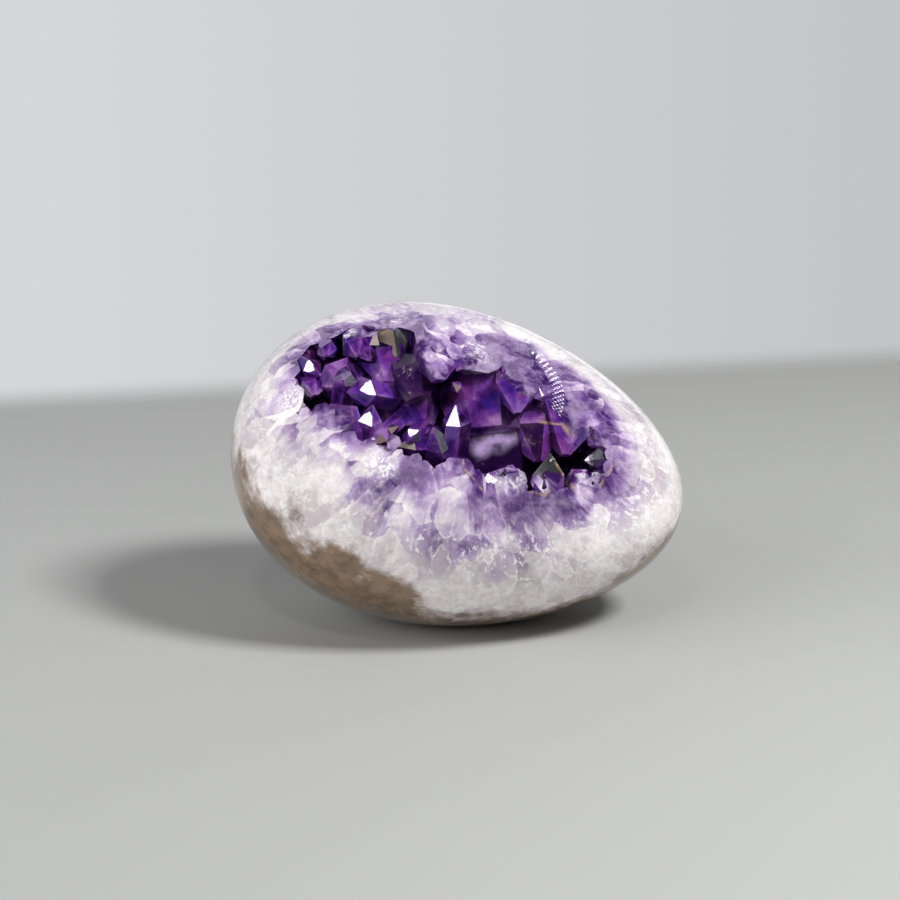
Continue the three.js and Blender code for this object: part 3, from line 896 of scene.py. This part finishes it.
def amethyst():
    """Purple crystals, part see-through, with painted light that leaves a face deep in its middle and paler
    at its edges.
    """
    make = Shading("amethyst")
    stone = stone_colour(make)
    grown = make.node("ShaderNodeVertexColor", layer_name=GROWTH)
    parts = make.node("ShaderNodeSeparateColor")
    make.join(grown.outputs["Color"], parts.inputs["Color"])
    middle, height, tone = (parts.outputs[name] for name in ("Red", "Green", "Blue"))
    is_face = grown.outputs["Alpha"]

    # Painted light: light gathers at the edges and tips, so faces are painted paler there and darker in their
    # middles.
    light = make.math("MULTIPLY_ADD", middle, -0.42, 0.62)
    light = make.math("ADD", light, make.range(height, 0.6, 1.0, 0, 0.22))
    light = make.math("ADD", light, make.range(stone.clouds, 0.3, 0.7, -0.4, 0.4, soft=False))
    light = make.math("ADD", light, make.math("MULTIPLY_ADD", stone.planes, 0.34, -0.17))
    face = make.ramp(light, [
        (0.0, FACE_DARK), (0.22, FACE_DEEP), (0.45, FACE_PURPLE), (0.7, FACE_BAND), (1.0, FACE_EDGE),
    ])
    face = make.mix(make.range(stone.hue, 0.6, 1.0, 0, 0.45), face, FACE_VIOLET)
    face = make.mix(make.range(stone.hue, 0.3, 0.0, 0, 0.4), face, FACE_MAGENTA)
    # Tones from 0.6 to 0.95 darken a face. The tan, cream and darkest tones paint reflections in smoky tan,
    # cream and grey.
    face = make.mix(make.range(tone, 0.6, 0.95, 0, 0.86), face, FACE_DARK)
    face = make.mix(make.range(tone, 0.08, 0.12, 0.7, 0), face, DARK_SMOKY_REFLECTION)
    face = make.mix(make.range(tone, 0.05, 0.06, 0.85, 0), face, CREAM)
    smoky = make.mix(make.range(stone.clouds, 0.56, 0.4, 0, 0.6), SMOKY_TAN_REFLECTION, DARK_SMOKY_REFLECTION)
    face = make.mix(make.range(tone, 0.02, 0.03, 0.9, 0), face, smoky)
    grey = make.mix(make.range(stone.clouds, 0.42, 0.6), GREY_GREEN, GREY_GLASS)
    face = make.mix(make.range(tone, 0.98, 0.985, 0, 0.85), face, grey)
    # Painted glow: in these spots the faces turn pale lilac, broken up by noise, in place of soft light
    # caught inside.
    painted_glow_breakup = make.range(make.noise(make.place, 330, 5, 0.6).outputs["Fac"], 0.3, 0.68, 0.15, 0.85)
    for place, radius in PAINTED_GLOWS:
        face = make.mix(make.math("MULTIPLY", near_spot(make, place, radius), painted_glow_breakup), face, PAINTED_GLOW)
    wisps = make.noise(make.place, 330, 4, 0.6, 1.2).outputs["Fac"]
    wisps = make.range(make.math("ABSOLUTE", make.math("SUBTRACT", wisps, 0.5)), 0.0, 0.012, 0.5, 0)
    wisps = make.math("MULTIPLY", wisps, make.range(stone.clouds, 0.58, 0.68))
    face = make.mix(wisps, face, GLINT)
    face = make.mix(make.range(stone.paleness, 1, 8, 0, 0.85), face, stone.body)
    for share, colour in stone.on_faces:
        face = make.mix(share, face, colour)
    make.join(make.mix(is_face, stone.body, face), make.shader.inputs["Base Color"])
    clear_cut = make.range(stone.zone, 0, 9, 0.12, 0.0)
    see_through = make.range(is_face, 0, 1, clear_cut, 0.25, soft=False)
    make.join(see_through, make.shader.inputs["Transmission Weight"])
    make.shader.inputs["Roughness"].default_value = 0.035
    make.shader.inputs["IOR"].default_value = 1.544
    relief_on(make, stone.relief, 0.06, 0.1 * MM)
    absorb = make.node("ShaderNodeVolumeAbsorption")
    absorb.inputs["Color"].default_value = srgb(170, 120, 220)
    absorb.inputs["Density"].default_value = 90
    output = make.tree.nodes["Material Output"]
    make.join(absorb.outputs["Volume"], output.inputs["Volume"])
    return make.material


def egg_stone():
    """The polished body with its hollow."""
    piece = combined(egg_form("egg"), "stone_body", [("DIFFERENCE", ellipsoid("zone", ZONE))])
    piece.data.polygons.foreach_set("use_smooth", [True] * len(piece.data.polygons))
    piece.data.set_sharp_from_angle(angle=SHARP_ON_STONE)
    piece.data.materials.append(polished_quartz())
    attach(piece, "root")
    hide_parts("egg_stone")
    return piece


def crystal_crust():
    """The purple zone with all its crystals, a little sunk in the stone that carries it."""
    back = ellipsoid("back", ZONE, SUNK_IN_STONE)
    crystals = rim_crystals()
    crystals += wall_crystals(**LARGE_ON_WALL)
    crystals += wall_crystals(**SMALL_ON_WALL)
    crystals += facing_crystals()
    piece = combined(ellipsoid("wall", ZONE, SUNK_IN_STONE), "crystals", [
        ("DIFFERENCE", [ellipsoid("hollow", HOLLOW, smooth=False)] + pockets()),
        ("UNION", crystals),
        ("INTERSECT", back),
        ("INTERSECT", egg_form("skin", POLISH_STEP)),
    ])
    largest_body(piece)
    piece.data.polygons.foreach_set("use_smooth", [True] * len(piece.data.polygons))
    piece.data.set_sharp_from_angle(angle=SHARP_ON_CRYSTALS)
    piece.data.materials.append(amethyst())
    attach(piece, "root")
    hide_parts("crystal_crust")
    return piece


# Tones of the table and the wall, and where the table's far edge starts and ends to fade, in metres.
FLOOR_DARK = srgb(171, 172, 170)
FLOOR_PAINTED_LIGHT = srgb(177, 178, 177)
WALL_TONE = srgb(207, 208, 210)
FLOOR_REACH = 3
FLOOR_EDGE = (0.19, 0.225)
FLOOR_EDGE_SLOPE = -0.22


def camera():
    """A long lens in front, 15 degrees up."""
    data = bpy.data.cameras.new("camera")
    data.sensor_width = 36
    data.lens = data.sensor_width * FOCAL_PIXELS / FRAME_PIXELS
    data.clip_start = 0.01
    made = bpy.data.objects.new("camera", data)
    turned = Matrix((VIEW_RIGHT, VIEW_UP, -VIEW_AHEAD)).transposed().to_4x4()
    made.matrix_world = Matrix.Translation(CAMERA_PLACE) @ turned
    scene.collection.objects.link(made)
    scene.camera = made


def soft_light(name, place, length, width, power, long_way):
    """An area light that looks at the egg, with its length along long_way."""
    data = bpy.data.lights.new(name, "AREA")
    data.shape = "RECTANGLE"
    data.size = length
    data.size_y = width
    data.energy = power
    place, long_way = Vector(place), Vector(long_way)
    back = (place - EGG_MIDDLE).normalized()
    side = (long_way - back * long_way.dot(back)).normalized()
    made = bpy.data.objects.new(name, data)
    turned = Matrix((side, back.cross(side), back)).transposed().to_4x4()
    made.matrix_world = Matrix.Translation(place) @ turned
    scene.collection.objects.link(made)
    return made


def floor():
    """A pale table with painted light that makes it paler to the left and back, whose far edge fades softly
    into the wall tone of the backdrop.
    """
    bm = bmesh.new()
    bmesh.ops.create_grid(bm, x_segments=2, y_segments=2, size=FLOOR_REACH)
    made = object_of(bm, "floor")
    scene.collection.objects.link(made)
    make = Shading("floor")
    across = make.node("ShaderNodeSeparateXYZ")
    make.join(make.place, across.inputs["Vector"])
    mottle = make.noise(make.place, 30, 5, 0.6).outputs["Fac"]
    # Painted light makes the table paler to the left and back; the mottle is its own uneven tone.
    pale = make.range(make.vector("DOT_PRODUCT", make.place, (-1.5, 0.3, 0)), 0.02, 0.25)
    pale = make.math("ADD", pale, make.math("MULTIPLY_ADD", mottle, 0.4, -0.2), clamp=True)
    make.join(make.mix(pale, FLOOR_DARK, FLOOR_PAINTED_LIGHT), make.shader.inputs["Base Color"])
    make.shader.inputs["Roughness"].default_value = 0.8
    line = make.math("MULTIPLY_ADD", across.outputs["X"], FLOOR_EDGE_SLOPE, across.outputs["Y"])
    make.join(make.range(line, *FLOOR_EDGE, 1, 0), make.shader.inputs["Alpha"])
    made.data.materials.append(make.material)


def surroundings():
    """A pale wall behind, and a room that is dimmer in front of the table, where the camera stands."""
    world = bpy.data.worlds.new("studio")
    scene.world = world
    make = Nodes(world)
    background = make.tree.nodes["Background"]
    background.inputs["Color"].default_value = WALL_TONE
    way = make.node("ShaderNodeTexCoord").outputs["Generated"]
    parts = make.node("ShaderNodeSeparateXYZ")
    make.join(way, parts.inputs[0])
    wall = make.range(parts.outputs["X"], -0.15, 0.17, 1.07, 0.88, soft=False)
    room = make.range(make.vector("DOT_PRODUCT", way, (-0.6, 1, 0)), 0, 0.7, 0, 0.84, soft=False)
    level = make.node("ShaderNodeMix")
    make.join(make.node("ShaderNodeLightPath").outputs["Is Camera Ray"], level.inputs["Factor"])
    make.join(room, level.inputs["A"])
    make.join(wall, level.inputs["B"])
    make.join(level.outputs["Result"], background.inputs["Strength"])


def dotted(lamp):
    """Makes a strip a lamp of many small diodes in staggered rows."""
    make = Nodes(lamp.data)
    grid = make.node("ShaderNodeMapping")
    make.join(make.node("ShaderNodeNewGeometry").outputs["Parametric"], grid.inputs["Vector"])
    grid.inputs["Scale"].default_value = (DIODES_ALONG, DIODES_ACROSS, 1)
    turned = make.node("ShaderNodeMapping")
    make.join(grid.outputs["Vector"], turned.inputs["Vector"])
    turned.inputs["Rotation"].default_value = (0, 0, math.pi / 4)
    spots = make.cells(turned.outputs["Vector"], 1, randomness=0)
    lit = make.math("LESS_THAN", spots.outputs["Distance"], DIODE_REACH)
    glow = next(node for node in make.tree.nodes if node.type == "EMISSION")
    make.join(lit, glow.inputs["Strength"])


def studio():
    """The mirrored strip, soft lamps at the upper right and in front, a weak one behind, and pale walls."""
    surroundings()
    strip = soft_light(*STRIP_LAMP)
    dotted(strip)
    strip.visible_diffuse = False
    for lamp in SOFT_LAMPS:
        soft_light(*lamp).visible_glossy = False
    soft_light(*EDGE_LAMP).visible_camera = False
    soft_light(*SMALL_LAMP)
    scene.view_settings.view_transform = "Standard"
    scene.cycles.use_denoising = True


camera()
studio()
floor()
egg_stone()
crystal_crust()
